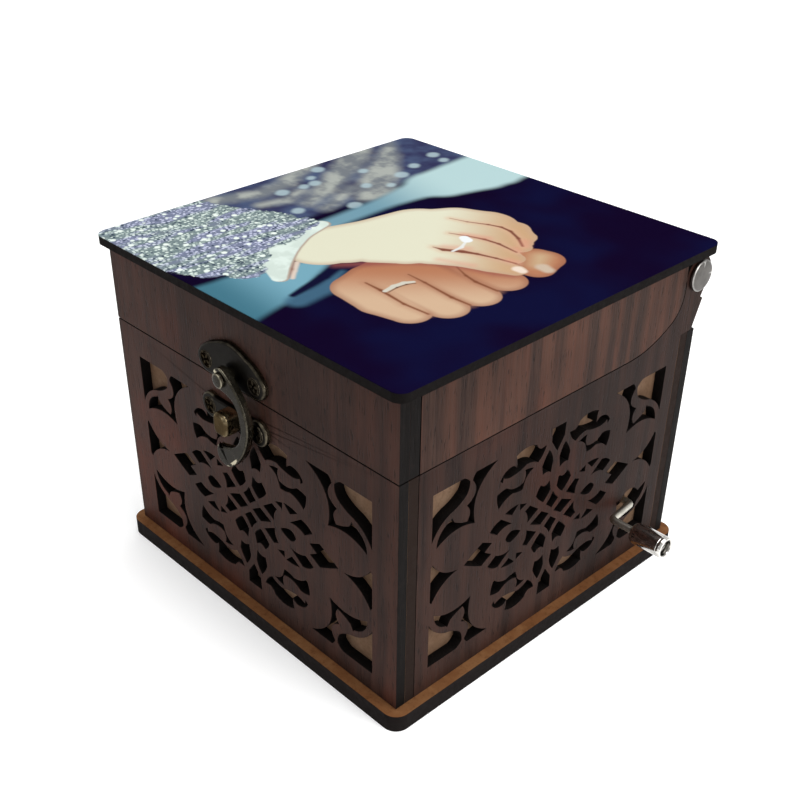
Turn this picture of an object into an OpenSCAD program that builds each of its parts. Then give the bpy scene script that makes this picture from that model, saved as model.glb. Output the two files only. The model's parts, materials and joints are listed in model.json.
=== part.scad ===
// Hand crank music box: a double-walled box of laser-cut boards, with arabesque
// fretwork in the outer boards, a hinged lid with a hook latch, and a comb and
// drum movement inside that a bent crank turns through a worm.
// +X is the crank side, -Y the latch side, +Z up. Origin: middle of the underside.

/* [Box] */
// Width of the box walls, from the left fret board to the crank side
box_w = 110; // [106:1:120]
// Depth of the box walls, from the latch side to the hinge side
box_d = 109; // [106:1:120]
// Thickness of every wall board
board = 3; // [2.5:0.1:3.2]
// Thickness of the base plate
base_t = 5; // [4:0.5:6]
// How far the base plate stands out past the walls
base_lip = 3; // [2:0.5:4]
// Height of the seam between box and lid
seam_z = 71.5; // [70:0.5:73]
// Clear gap along the seam
seam_gap = 0.3; // [0.25:0.05:0.5]

/* [Lid] */
// Height of the lid plate's underside
lid_z = 93.5; // [92:0.5:95]
// Thickness of the lid plate under the printed sheet
lid_t = 2.3; // [2:0.1:3]
// Thickness of the printed sheet
print_t = 0.2; // [0.1:0.05:0.3]
// How far the lid plate stands out past the walls
lid_lip = 2.5; // [2:0.5:3]
// How far back the lid's outer side boards reach
lid_side_back = 47.2; // [46:0.1:47.5]
// Widest opening angle of the lid, where its back edge lands in the ear's step
lid_open = 120; // [110:1:122]

/* [Fretwork] */
// Height of the middle of the fretwork on the front and back
fret_z_front = 37; // [36:0.5:39]
// Height of the middle of the fretwork on the two sides
fret_z_side = 38; // [36:0.5:39]
// How much wider the front fretwork is drawn than the side fretwork
fret_stretch = 1.06; // [1:0.01:1.08]

/* [Hinge] */
// Distance of the hinge pin behind the middle of the box
pin_y = 52.5; // [52:0.1:53]
// Height of the hinge pin
pin_z = 87.5; // [87:0.1:88]
// Diameter of the hinge pin's shank
pin_d = 3; // [2.5:0.1:3.5]
// Diameter of the hinge pin's flat head
pin_head_d = 8.6; // [8:0.1:9]
// Radius of the ear's round top
ear_r = 5.3; // [5:0.1:5.4]

/* [Latch] */
// Sideways place of the latch
latch_x = -2.5; // [-5:0.5:5]
// Height of the upper pair of screws
latch_up_z = 76.5; // [76:0.5:78]
// Height of the lower pair of screws and of the stud
latch_low_z = 63.3; // [62:0.1:64]
// Distance between the two screws of a pair
latch_pitch = 19; // [18:0.5:20]
// Thickness of the latch plates
latch_t = 1.5; // [1.4:0.1:1.8]
// Height of the hook's rivet
rivet_z = 75.6; // [75:0.1:76]

/* [Crank] */
// Place of the crank shaft behind the middle of the box
crank_y = 35; // [34:0.5:36]
// Height of the crank shaft
crank_z = 24; // [24:0.1:24.5]
// Diameter of the crank shaft and its arm
crank_d = 2; // [1.8:0.1:2]
// Reach of the crank arm, from the shaft to the knob's axis
crank_reach = 13.2; // [12:0.1:15]
// Angle at which the arm stands at rest, up from straight forward
crank_lift = 11.5; // [0:0.5:30]
// Diameter of the knob
knob_d = 6; // [5.5:0.1:7]
// Length of the knob
knob_len = 10.5; // [9:0.5:13]

/* [Movement] */
// Sideways place of the drum's axis
drum_x = 26; // [25:0.5:27]
// Height of the drum's axis
drum_z = 16; // [15.9:0.1:16]
// Diameter of the drum without its pins
drum_d = 13; // [12:0.5:13]
// Length of the drum
drum_len = 19; // [18:0.5:19]
// Diameter of the drum's arbor
arbor_d = 2; // [1.8:0.1:2]
// Number of notes in the comb
notes = 18; // [12:1:18]
// Distance from one note to the next
note_pitch = 1; // [0.9:0.05:1]
// Number of teeth on the drum's gear
gear_teeth = 16; // [14:1:20]

/* [Hidden] */
$fn = 48;

half_w = box_w / 2;
half_d = box_d / 2;
lid_floor_z = seam_z + seam_gap;
top_z = lid_z + lid_t + print_t;
side_len = box_d - 4 * board;
slip = 0.15;
fit = 0.05;

// Fretwork: half of the window, and its openings in one quarter. Each opening runs
// anticlockwise, and each point is [across, up, bow]: bow is how far the edge to the
// next point swells out of the opening, or into it when it is negative.
fret_w = 43.8;
fret_h = 26;
fret_on_middle_line = [
    [[0.9, 0, 0], [4, -2.1, 0], [8.2, 0, 0], [4, 2.1, 0]],
    [[11.8, 0, 0.3], [15.4, -1.7, 0.4], [17.4, 0, 0.4], [15.4, 1.7, 0.3]],
    [[25, 0, 0], [22.5, -1.7, 0], [26, -3.6, 0.1], [32.4, 0, 0.1], [26, 3.6, 0], [22.5, 1.7, 0]],
    [[34.5, 0, -1.3], [43.2, -5.8, 0], [fret_w, -5.2, 0], [fret_w, 5.2, 0], [43.2, 5.8, -1.3]]
];
fret_on_upright_line = [
    [[0, 1.4, 0], [2.4, 3.4, 0], [1, 4.9, 0], [0, 6.5, 0], [-1, 4.9, 0], [-2.4, 3.4, 0]],
    [[0, 18.6, 0], [2.4, 22.2, 0], [2.6, fret_h, 0], [-2.6, fret_h, 0], [-2.4, 22.2, 0]]
];
fret_in_quarter = [
    [[5.4, 3.6, 0], [9.4, 1.2, -0.5], [10.6, 5.3, 0], [8.8, 6.2, 0]],
    [[3.7, 4.8, 0.2], [6.8, 8, 0.2], [5.2, 10.6, -0.9], [1.8, 10.6, 0], [1.2, 7.6, 0.2]],
    [[3.1, 20.2, 0.3], [1.2, 16.3, 0], [1.7, 13, -0.5], [4.9, 13.6, 0], [5.4, 16.2, 0.2]],
    [[7.2, 18.4, -0.4], [11.5, 19.8, 0.2], [16, 18.7, 0.4], [19.8, 19.5, 0], [20.1, 18.2, 0],
     [20.9, 19.1, 0.6], [17.5, 21.6, 0.4], [15.2, 20.5, -0.2], [15.6, 23.9, 0.9],
     [8.2, 23.9, -0.3], [6.3, 22, 0], [4.4, 22.2, 0.4]],
    [[12.4, 12.8, 0.2], [16, 13.4, -0.5], [20.8, 11, 0.3], [21.8, 15.4, 0.2], [18.4, 16, -0.9],
     [12.2, 14.8, -0.5], [11.9, 18.3, 0.2], [8.6, 17.5, -0.4], [11.6, 15.3, 0]],
    [[10.2, 7.6, 0], [12.7, 6.6, 0], [12.8, 8.6, 0]],
    [[15.6, 6.7, 0], [18.4, 8.3, 0.3], [13.4, 8.9, 0]],
    [[15.5, 4.1, -0.6], [20.8, 3.2, 0], [23.6, 5.2, 0.5], [19.6, 7.3, 0]],
    [[22.4, fret_h, -3.3], [29.3, 11.2, -1.7], [42.2, 10.2, 1.3], [37.6, 16.1, 0], [37.3, 16.7, 0],
     [36.4, 14.9, -0.2], [32, 13, -1], [32.4, 17.7, -2.1], [30.8, 24.2, 0.2], [29.6, fret_h, 0]],
    [[31.7, 24.3, 0.3], [32.6, 20.9, 0.4], [38, 18.1, -0.8], [fret_w, 12.4, 0],
     [fret_w, fret_h, 0], [33.8, fret_h, 0.2]]
];

// Side outline of the lid's outer side boards at the back: two blending arcs.
lid_arc_y = 26;
lid_arc_r = 32;
lid_corner_r = 9;
lid_corner_y = lid_side_back - lid_corner_r;
lid_corner_z = lid_floor_z + lid_arc_r
    - sqrt(pow(lid_arc_r - lid_corner_r, 2) - pow(lid_corner_y - lid_arc_y, 2));
lid_blend = atan2(lid_corner_z - lid_floor_z - lid_arc_r, lid_corner_y - lid_arc_y);

// Where the back edge of the lid plate lies when the lid is fully open
plate_back = half_d + lid_lip - pin_y;
plate_under = lid_z - pin_z;

// Latch
hook_t = 2;
hook_out = latch_t + 1.1;
stud_out = 6;
rivet_d = 1.6;

// Crank: the shaft bends just outside the wall, the arm slants out to the knob's pin
bend_x = half_w + 1;
pin_x = half_w + 4;
knob_x = half_w + 11;
knob_end_x = knob_x + knob_len;
knob_y = crank_y - crank_reach * cos(crank_lift);
knob_z = crank_z + crank_reach * sin(crank_lift);
knob_pin_d = 1.4;
elbow_d = crank_d + 0.2;
shaft_in_x = 14.5;
worm_d = 3.8;
worm_len = 9;
gear_d = 2 * (crank_z - drum_z) - worm_d - 0.3;

// Movement
bed_t = 2;
bed_z = base_t + bed_t;
bed_x0 = 2;
bed_x1 = 41;
bed_y0 = 6;
bed_y1 = 44;
drum_y0 = 12.5;
gear_y = crank_y;
gear_t = 2.4;
comb_tip_x = drum_x - drum_d / 2 - 0.7;
comb_root_x = 4;
comb_t = 1;
comb_w = notes * note_pitch + 1;
comb_mid_y = drum_y0 + drum_len / 2;
crank_hole_d = 9;
floor_z = 34;

// Points of the edge from p to q, without q, swollen by bow to the right of the way
function bowed(p, q, bow) =
    let (step = [q.x - p.x, q.y - p.y], len = norm(step), side = [step.y, -step.x] / len,
         n = bow == 0 ? 1 : (abs(bow) > 0.9 ? 10 : 5))
    [for (i = [0:n - 1]) let (t = i / n) [p.x, p.y] + step * t + side * bow * 4 * t * (1 - t)];

function outline(points) =
    [for (i = [0:len(points) - 1])
        let (p = points[i], q = points[(i + 1) % len(points)]) each bowed(p, q, p.z)];

module opening(points, stretch) {
    polygon([for (p = outline(points)) [p.x * stretch, p.y]]);
}

// The whole pattern of openings, centred
module fret_openings(stretch) {
    for (points = fret_on_middle_line)
        for (flip = [0, 1])
            mirror([flip, 0]) opening(points, stretch);
    for (points = fret_on_upright_line)
        for (flip = [0, 1])
            mirror([0, flip]) opening(points, stretch);
    for (points = fret_in_quarter)
        for (flip_x = [0, 1])
            for (flip_y = [0, 1])
                mirror([flip_x, 0]) mirror([0, flip_y]) opening(points, stretch);
}

// Stands a flat drawing up as a board: across along +X, up along +Z
module upright_x(y0, thick) {
    translate([0, y0 + thick, 0]) rotate([90, 0, 0]) linear_extrude(thick) children();
}

// Stands a flat drawing up as a board: across along +Y, up along +Z
module upright_y(x0, thick) {
    translate([x0, 0, 0]) rotate([90, 0, 90]) linear_extrude(thick) children();
}

module rounded_plate(w, d, r, t) {
    translate([-w / 2 + r, -d / 2, 0]) cube([w - 2 * r, d, t]);
    translate([-w / 2, -d / 2 + r, 0]) cube([w, d - 2 * r, t]);
    for (sx = [-1, 1])
        for (sy = [-1, 1])
            translate([sx * (w / 2 - r), sy * (d / 2 - r), 0]) cylinder(h = t, r = r);
}

module along_x(x0, len, d) {
    translate([x0, 0, 0]) rotate([0, 90, 0]) cylinder(h = len, d = d);
}

module along_y(y0, len, d) {
    translate([0, y0 + len, 0]) rotate([90, 0, 0]) cylinder(h = len, d = d);
}

// ---- Box ----

movement_screw_xy = [[6, 9.5], [37.5, 9.5], [6, 40.5]];

module base_plate() color([0.45, 0.31, 0.2]) difference() {
    rounded_plate(box_w + 2 * base_lip, box_d + 2 * base_lip, 4, base_t);
    for (p = movement_screw_xy)
        translate([p.x, p.y, 0]) {
            translate([0, 0, -1]) cylinder(h = base_t + 2, d = 2.6);
            translate([0, 0, -1]) cylinder(h = 2.4, d = 5);
        }
}

module wall_sheet(half_len, z1) {
    translate([-half_len, base_t]) square([2 * half_len, z1 - base_t]);
}

module front_fret_panel() color([0.2, 0.16, 0.15]) upright_x(-half_d, board) difference() {
    wall_sheet(half_w, seam_z);
    translate([0, fret_z_front]) fret_openings(fret_stretch);
    latch_pilot_holes(latch_low_z);
}

module front_inner_panel() color([0.5, 0.42, 0.34]) upright_x(-half_d + board, board)
    difference() {
        wall_sheet(half_w, seam_z);
        latch_pilot_holes(latch_low_z);
    }

// Holes for one pair of latch screws, in a flat drawing of the boards behind it
module latch_pilot_holes(z) {
    for (sx = [-1, 1]) translate([latch_x + sx * latch_pitch / 2, z]) circle(d = latch_screw_d);
}

module back_fret_panel() color([0.2, 0.16, 0.15]) upright_x(half_d - board, board) difference() {
    wall_sheet(half_w, seam_z);
    translate([0, fret_z_front]) fret_openings(fret_stretch);
}

module back_inner_panel() color([0.5, 0.42, 0.34]) upright_x(half_d - 2 * board, board)
    wall_sheet(half_w, seam_z);

// Turns a point about the hinge pin by the lid's opening angle, then moves it to the pin
function opened(y, z) =
    [pin_y + y * cos(lid_open) + z * sin(lid_open), pin_z - y * sin(lid_open) + z * cos(lid_open)];

// The ear that rises behind the lid's outer side board and carries the hinge pin
module ear() {
    step_in = opened(plate_back + 0.3, plate_under - 0.3);
    step_out = opened(plate_back + 0.3, plate_under + 1);
    neck = opened(0, plate_under - 0.7);
    difference() {
        union() {
            polygon([[lid_arc_y, seam_z - 1], [side_len / 2, seam_z - 1], [side_len / 2, seam_z],
                     [53, seam_z + 0.1], step_out, step_in, neck, [pin_y, pin_z],
                     [pin_y - ear_r, pin_z], [lid_arc_y, pin_z]]);
            translate([pin_y, pin_z]) circle(r = ear_r);
        }
        lid_side_sweep(seam_gap);
    }
}

// Region of the lid's outer side board, grown by gap
module lid_side_sweep(gap) {
    polygon(concat(
        [[lid_arc_y - 1, top_z], [lid_arc_y - 1, lid_floor_z - gap]],
        [for (i = [0:8]) let (a = -90 + (lid_blend + 90) * i / 8)
            [lid_arc_y + (lid_arc_r + gap) * cos(a),
             lid_floor_z + lid_arc_r + (lid_arc_r + gap) * sin(a)]],
        [for (i = [1:10]) let (a = lid_blend - lid_blend * i / 10)
            [lid_corner_y + (lid_corner_r + gap) * cos(a),
             lid_corner_z + (lid_corner_r + gap) * sin(a)]],
        [[lid_side_back + gap, pin_z - 1], [pin_y - ear_r - gap, pin_z + 1],
         [pin_y - ear_r - gap, top_z]]));
}

module side_fret_sheet() difference() {
    union() {
        wall_sheet(side_len / 2 - slip, seam_z);
        ear();
    }
    translate([0, fret_z_side]) fret_openings(1);
}

module left_fret_panel() color([0.24, 0.18, 0.16]) difference() {
    upright_y(-half_w, board) side_fret_sheet();
    translate([0, pin_y, pin_z]) along_x(-half_w - 1, board + 2, pin_d + 2 * fit);
}

module right_fret_panel() color([0.24, 0.18, 0.16]) difference() {
    upright_y(half_w - board, board) side_fret_sheet();
    translate([0, pin_y, pin_z]) along_x(half_w - board - 1, board + 2, pin_d + 2 * fit);
    translate([0, crank_y, crank_z]) along_x(half_w - board - 1, board + 2, crank_hole_d);
}

module side_inner_sheet() wall_sheet(side_len / 2, seam_z);

module left_inner_panel() color([0.5, 0.42, 0.34]) upright_y(-half_w + board, board)
    side_inner_sheet();

module right_inner_panel() color([0.5, 0.42, 0.34]) difference() {
    upright_y(half_w - 2 * board, board) side_inner_sheet();
    translate([0, crank_y, crank_z]) along_x(half_w - 2 * board - 1, board + 2, 5);
}

well_w = box_w - 4 * board;
ledge_w = 4;

// Four ledges glued round the walls, under the storage floor
module floor_ledges() color([0.55, 0.45, 0.34]) {
    for (s = [-1, 1]) {
        translate([s * (well_w - ledge_w) / 2 - ledge_w / 2, -side_len / 2, floor_z - board])
            cube([ledge_w, side_len, board]);
        translate([-well_w / 2 + ledge_w, s * (side_len - ledge_w) / 2 - ledge_w / 2,
                   floor_z - board])
            cube([well_w - 2 * ledge_w, ledge_w, board]);
    }
}

module storage_floor() color([0.3, 0.22, 0.17])
    translate([-well_w / 2, -side_len / 2, floor_z]) cube([well_w, side_len, board]);

// ---- Lid ----

module lid_plate() color([0.12, 0.1, 0.1]) translate([0, 0, lid_z])
    rounded_plate(box_w + 2 * lid_lip, box_d + 2 * lid_lip, 3, lid_t);

module lid_print() color([0.08, 0.07, 0.18]) translate([0, 0, lid_z + lid_t])
    rounded_plate(box_w + 2 * lid_lip, box_d + 2 * lid_lip, 3, print_t);

module lid_wall_x(y0, half_len) upright_x(y0, board)
    translate([-half_len, lid_floor_z]) square([2 * half_len, lid_z - lid_floor_z]);

// A board of the lid's front, with the pilot holes of the latch screws
module lid_front_board(y0) upright_x(y0, board) difference() {
    translate([-half_w, lid_floor_z]) square([box_w, lid_z - lid_floor_z]);
    latch_pilot_holes(latch_up_z);
}

module lid_front_outer() color([0.2, 0.16, 0.15]) lid_front_board(-half_d);

module lid_front_inner() color([0.2, 0.16, 0.15]) lid_front_board(-half_d + board);

back_half = half_w - 2 * board - slip;

module lid_back_outer() color([0.2, 0.16, 0.15]) lid_wall_x(half_d - board, back_half);

module lid_back_inner() color([0.2, 0.16, 0.15]) lid_wall_x(half_d - 2 * board, back_half);

module lid_side_outer() upright_y(half_w - board, board) intersection() {
    translate([-side_len / 2 + seam_gap, lid_floor_z])
        square([side_len / 2 + lid_side_back, lid_z - lid_floor_z]);
    union() {
        translate([-side_len / 2, lid_floor_z])
            square([side_len / 2 + lid_arc_y, lid_z - lid_floor_z]);
        lid_side_sweep(0);
    }
}

module lid_side_inner() difference() {
    upright_y(half_w - 2 * board, board - slip)
        translate([-side_len / 2, lid_floor_z])
            square([side_len / 2 + half_d, lid_z - lid_floor_z]);
    translate([0, pin_y, pin_z]) along_x(half_w - 2 * board - 1, board + 2, pin_d);
}

module lid_right_outer() color([0.24, 0.18, 0.16]) lid_side_outer();

module lid_left_outer() color([0.24, 0.18, 0.16]) mirror([1, 0, 0]) lid_side_outer();

module lid_right_inner() color([0.2, 0.16, 0.15]) lid_side_inner();

module lid_left_inner() color([0.2, 0.16, 0.15]) mirror([1, 0, 0]) lid_side_inner();

// Flat-headed pin: pressed in the lid's inner side board, running in the ear
module hinge_pin() translate([0, pin_y, pin_z]) {
    along_x(half_w - 2 * board, 2 * board + 0.4, pin_d);
    along_x(half_w + 0.3, 1, pin_head_d);
}

module hinge_pin_right() color([0.75, 0.74, 0.72]) hinge_pin();

module hinge_pin_left() color([0.75, 0.74, 0.72]) mirror([1, 0, 0]) hinge_pin();

// ---- Latch ----

latch_screw_d = 2;
latch_head_d = 4.6;
latch_head_out = 0.25;
// Outlines about the middle of the upper plate and about the hook's rivet
latch_up_outline = [
    [-9.5, -3.8, 0.3], [9.5, -3.8, 0], [12.6, 2, 0.5], [6.2, 6.1, 0.3], [0, 7.8, 0.3],
    [-6.2, 6.1, 0.5], [-12.6, 2, 0]
];
hook_outline = [
    [-2.4, -24.5, 0.7], [2.4, -24, 1], [9.3, -13.4, 0.6], [8.9, -6, 1.2], [0, 3.1, 0.9],
    [-3.1, 0, 0.9], [0, -3, -0.3], [4.6, -4.4, -0.5], [6.6, -9.1, -0.6], [6, -14.4, -0.6],
    [2.2, -18.4, -0.2], [-3.3, -20, 0.8]
];

// Puts a part drawn standing at the origin onto the latch side, x across and z up
module on_latch_side(z, out) {
    translate([latch_x, -half_d - out, z]) rotate([90, 0, 0]) children();
}

module latch_screw(sx, z) {
    on_latch_side(z, latch_t + latch_head_out) translate([sx * latch_pitch / 2, 0, 0])
        rotate([180, 0, 0]) {
            cylinder(h = 0.3, d = latch_head_d);
            translate([0, 0, 0.3]) cylinder(h = 1.3, d1 = latch_head_d, d2 = latch_screw_d);
            translate([0, 0, 1.6]) cylinder(h = 4.4, d = latch_screw_d);
        }
}

module cross_recess(sx, z) {
    on_latch_side(z, latch_t + latch_head_out - 0.5) translate([sx * latch_pitch / 2, 0, 0])
        for (turn = [20, 110])
            rotate([0, 0, turn]) translate([-1.3, -0.3, 0]) cube([2.6, 0.6, 1]);
}

module latch_screw_pair(z) {
    for (sx = [-1, 1]) latch_screw(sx, z);
}

module latch_upper_plate() color([0.3, 0.27, 0.22]) difference() {
    on_latch_side(latch_up_z, 0) linear_extrude(latch_t) {
        polygon(outline(latch_up_outline));
        for (sx = [-1, 1]) translate([sx * latch_pitch / 2, 0]) circle(r = 3.8);
    }
    latch_screw_pair(latch_up_z);
}

module latch_upper_screws() color([0.4, 0.36, 0.3]) difference() {
    latch_screw_pair(latch_up_z);
    for (sx = [-1, 1]) cross_recess(sx, latch_up_z);
}

// Rivet with a washer behind the hook and a head in front of it
module latch_rivet() color([0.45, 0.42, 0.36]) {
    on_latch_side(rivet_z, latch_t) cylinder(h = 1, d = 4.4);
    on_latch_side(rivet_z, latch_t) cylinder(h = hook_t + 1.3, d = rivet_d);
    on_latch_side(rivet_z, hook_out + hook_t + 0.1) cylinder(h = 0.5, d = 4);
    on_latch_side(rivet_z, hook_out + hook_t + 0.6) cylinder(h = 0.4, d1 = 4, d2 = 2.6);
}

module latch_hook() color([0.45, 0.42, 0.35]) on_latch_side(rivet_z, hook_out)
    difference() {
        linear_extrude(hook_t) polygon(outline(hook_outline));
        translate([0, 0, -1]) cylinder(h = hook_t + 2, d = rivet_d + 2 * fit);
    }

module latch_lower_plate() color([0.3, 0.27, 0.22]) difference() {
    on_latch_side(latch_low_z, 0) linear_extrude(latch_t) {
        translate([-latch_pitch / 2, -2.9]) square([latch_pitch, 5.8]);
        for (sx = [-1, 1]) translate([sx * latch_pitch / 2, 0]) circle(r = 3.6);
    }
    latch_screw_pair(latch_low_z);
}

module latch_lower_screws() color([0.4, 0.36, 0.3]) difference() {
    latch_screw_pair(latch_low_z);
    for (sx = [-1, 1]) cross_recess(sx, latch_low_z);
}

module latch_stud() color([0.6, 0.52, 0.36]) on_latch_side(latch_low_z, latch_t)
    rounded_plate(5.4, 6.4, 2.2, stud_out - latch_t);

// ---- Movement ----

module movement_screw_shape(x, y) translate([x, y, 0]) {
    translate([0, 0, 0.2]) cylinder(h = 1.2, d = 5);
    translate([0, 0, 1.3]) cylinder(h = bed_z - 1.3, d = 2.6);
}

module bedplate() color([0.62, 0.6, 0.56]) difference() {
    translate([bed_x0, bed_y0, base_t]) cube([bed_x1 - bed_x0, bed_y1 - bed_y0, bed_t]);
    for (p = movement_screw_xy) translate([p.x, p.y, 0]) cylinder(h = 10, d = 2.6);
}

module movement_screws() color([0.5, 0.5, 0.5]) difference() {
    for (p = movement_screw_xy) movement_screw_shape(p.x, p.y);
    for (p = movement_screw_xy)
        translate([p.x - 2, p.y - 0.3, -0.2]) cube([4, 0.6, 0.9]);
}

comb_z = drum_z - comb_t / 2;
comb_screw_y = [comb_mid_y - 6, comb_mid_y + 6];

module comb_screw_holes() {
    for (y = comb_screw_y) translate([7, y, comb_z - 5]) cylinder(h = 5 + comb_t, d = 2);
}

module comb_block() color([0.7, 0.69, 0.66]) difference() {
    translate([comb_root_x, comb_mid_y - comb_w / 2, bed_z]) cube([6, comb_w, comb_z - bed_z]);
    comb_screw_holes();
}

// Steel comb: one tooth for each note, the slits open towards the drum
module comb() color([0.78, 0.78, 0.76]) difference() {
    translate([comb_root_x, comb_mid_y - comb_w / 2, comb_z])
        cube([comb_tip_x - comb_root_x, comb_w, comb_t]);
    comb_screw_holes();
    for (i = [1:notes - 1])
        translate([10.5, comb_mid_y + (i - notes / 2) * note_pitch - 0.15, comb_z - 1])
            cube([20, 0.3, comb_t + 2]);
}

module comb_screws() color([0.5, 0.5, 0.5]) difference() {
    union() {
        comb_screw_holes();
        for (y = comb_screw_y) translate([7, y, comb_z + comb_t]) cylinder(h = 1.2, d = 4);
    }
    for (y = comb_screw_y) translate([4.5, y - 0.3, comb_z + comb_t + 0.6]) cube([5, 0.6, 2]);
}

pins_per_note = 4;

// Brass drum: its short pins follow a simple rule, not a tune
module drum() color([0.8, 0.65, 0.35]) difference() {
    union() {
        translate([drum_x, 0, drum_z]) along_y(drum_y0, drum_len, drum_d);
        for (i = [0:notes - 1])
            for (j = [0:pins_per_note - 1])
                translate([drum_x, comb_mid_y + (i + 0.5 - notes / 2) * note_pitch, drum_z])
                    rotate([0, 20 + 90 * j + 37 * i, 0])
                        translate([0, 0, drum_d / 2 - 0.5]) cylinder(h = 0.95, d = 0.5);
    }
    translate([drum_x, 0, drum_z]) along_y(drum_y0 - 1, drum_len + 2, arbor_d);
}

module drum_arbor() color([0.6, 0.6, 0.58]) translate([drum_x, 0, drum_z])
    along_y(8.6, 32.4, arbor_d);

function gear_outline() =
    [for (i = [0:gear_teeth - 1]) for (p = [[0, 0.85], [0.25, 0.85], [0.38, 1], [0.62, 1], [0.75, 0.85]])
        let (a = 360 * (i + p.x) / gear_teeth) gear_d / 2 * p.y * [cos(a), sin(a)]];

module drum_gear() color([0.85, 0.72, 0.4]) difference() {
    translate([drum_x, gear_y + gear_t / 2, drum_z]) rotate([90, 0, 0])
        linear_extrude(gear_t) polygon(gear_outline());
    translate([drum_x, 0, drum_z]) along_y(gear_y - gear_t, 2 * gear_t, arbor_d);
}

bush_d = 4;
bracket_t = 1.5;

// Bracket for the arbor, standing at y0, with its foot on the side foot_y0
module arbor_bracket(y0, foot_y0) difference() {
    union() {
        upright_x(y0, bracket_t) {
            translate([drum_x - 4, bed_z]) square([8, drum_z - bed_z]);
            translate([drum_x, drum_z]) circle(d = 8);
        }
        translate([drum_x - 4, foot_y0, bed_z]) cube([8, 4, 1]);
    }
    translate([drum_x, 0, drum_z]) along_y(y0 - 1, bracket_t + 2, bush_d);
}

front_bracket_y = 9.5;
rear_bracket_y = 38.6;

module front_bracket() color([0.66, 0.65, 0.62]) arbor_bracket(front_bracket_y, front_bracket_y - 3);

module rear_bracket() color([0.66, 0.65, 0.62]) arbor_bracket(rear_bracket_y, rear_bracket_y);

module arbor_bushes() color([0.8, 0.65, 0.35])
    for (y0 = [front_bracket_y, rear_bracket_y])
        translate([drum_x, 0, drum_z]) difference() {
            along_y(y0, bracket_t, bush_d);
            along_y(y0 - 1, bracket_t + 2, arbor_d + 2 * fit);
        }

crank_bracket_x = [15.5, 36.5];

// Two brackets that hold the crank shaft above the gear
module crank_brackets() color([0.66, 0.65, 0.62])
    for (x0 = crank_bracket_x) difference() {
        union() {
            upright_y(x0, bracket_t) {
                translate([crank_y - 3, bed_z]) square([6, crank_z - bed_z]);
                translate([crank_y, crank_z]) circle(d = 6);
            }
            translate([x0 + (x0 < drum_x ? -2.5 : 0), crank_y - 3, bed_z]) cube([4, 6, 1]);
        }
        translate([0, crank_y, crank_z]) along_x(x0 - 1, bracket_t + 2, bush_d);
    }

module crank_bushes() color([0.8, 0.65, 0.35])
    for (x0 = crank_bracket_x)
        translate([0, crank_y, crank_z]) difference() {
            along_x(x0, bracket_t, bush_d);
            along_x(x0 - 1, bracket_t + 2, crank_d + 2 * fit);
        }

// Bent steel rod: shaft, slanting arm and the thin pin that the knob turns on
module crank() color([0.8, 0.8, 0.78]) translate([0, crank_y, crank_z])
    rotate([180 - crank_lift, 0, 0]) {
        along_x(shaft_in_x, bend_x - shaft_in_x, crank_d);
        translate([bend_x, 0, 0]) {
            sphere(d = elbow_d);
            rotate([0, 0, atan2(crank_reach, pin_x - bend_x)])
                along_x(0, norm([crank_reach, pin_x - bend_x]), crank_d);
        }
        translate([pin_x, crank_reach, 0]) {
            sphere(d = elbow_d);
            along_x(0, knob_end_x - 2.2 - pin_x, knob_pin_d);
        }
    }

// Worm on the shaft, drawn as rings of thread over the gear
module worm() color([0.8, 0.8, 0.78]) translate([drum_x - worm_len / 2, crank_y, crank_z])
    rotate([0, 90, 0]) rotate_extrude()
        polygon(concat(
            [[crank_d / 2, 0]],
            [for (i = [0:8]) [i % 2 == 0 ? worm_d / 2 - 0.6 : worm_d / 2, worm_len * i / 8]],
            [[crank_d / 2, worm_len]]));

// Polished knob, hollow at its outer end
module crank_knob() color([0.85, 0.85, 0.84]) translate([knob_x, knob_y, knob_z])
    rotate([0, 90, 0]) difference() {
        rotate_extrude() polygon([
            [0, 0], [knob_d / 2 - 1.2, 0], [knob_d / 2 - 0.4, 0.35], [knob_d / 2, 1.1],
            [knob_d / 2, knob_len - 0.5], [knob_d / 2 - 0.4, knob_len], [0, knob_len]]);
        translate([0, 0, -1]) cylinder(h = knob_len + 2, d = knob_pin_d + 2 * fit);
        translate([0, 0, knob_len - 2.5]) cylinder(h = 3, d = knob_d - 1.4);
    }

module knob_screw() color([0.7, 0.7, 0.68]) translate([knob_end_x - 2.2, knob_y, knob_z])
    difference() {
        along_x(0, 1.2, 3.4);
        translate([0.6, -2, -0.3]) cube([1, 4, 0.6]);
    }

base_plate();
front_fret_panel();
front_inner_panel();
back_fret_panel();
back_inner_panel();
left_fret_panel();
left_inner_panel();
right_fret_panel();
right_inner_panel();
floor_ledges();
storage_floor();
lid_plate();
lid_print();
lid_front_outer();
lid_front_inner();
lid_back_outer();
lid_back_inner();
lid_left_outer();
lid_left_inner();
lid_right_outer();
lid_right_inner();
hinge_pin_left();
hinge_pin_right();
latch_upper_plate();
latch_upper_screws();
latch_rivet();
latch_hook();
latch_lower_plate();
latch_lower_screws();
latch_stud();
bedplate();
movement_screws();
comb_block();
comb();
comb_screws();
drum();
drum_arbor();
drum_gear();
front_bracket();
rear_bracket();
arbor_bushes();
crank_brackets();
crank_bushes();
crank();
worm();
crank_knob();
knob_screw();
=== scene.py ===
# Finishes and fine pieces of a hand crank music box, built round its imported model.
# Metres, in the model's own frame: +X is the crank side, -Y the latch side, +Z up.

import json
import math

import bmesh
import bpy
from mathutils import Matrix, Vector


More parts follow.
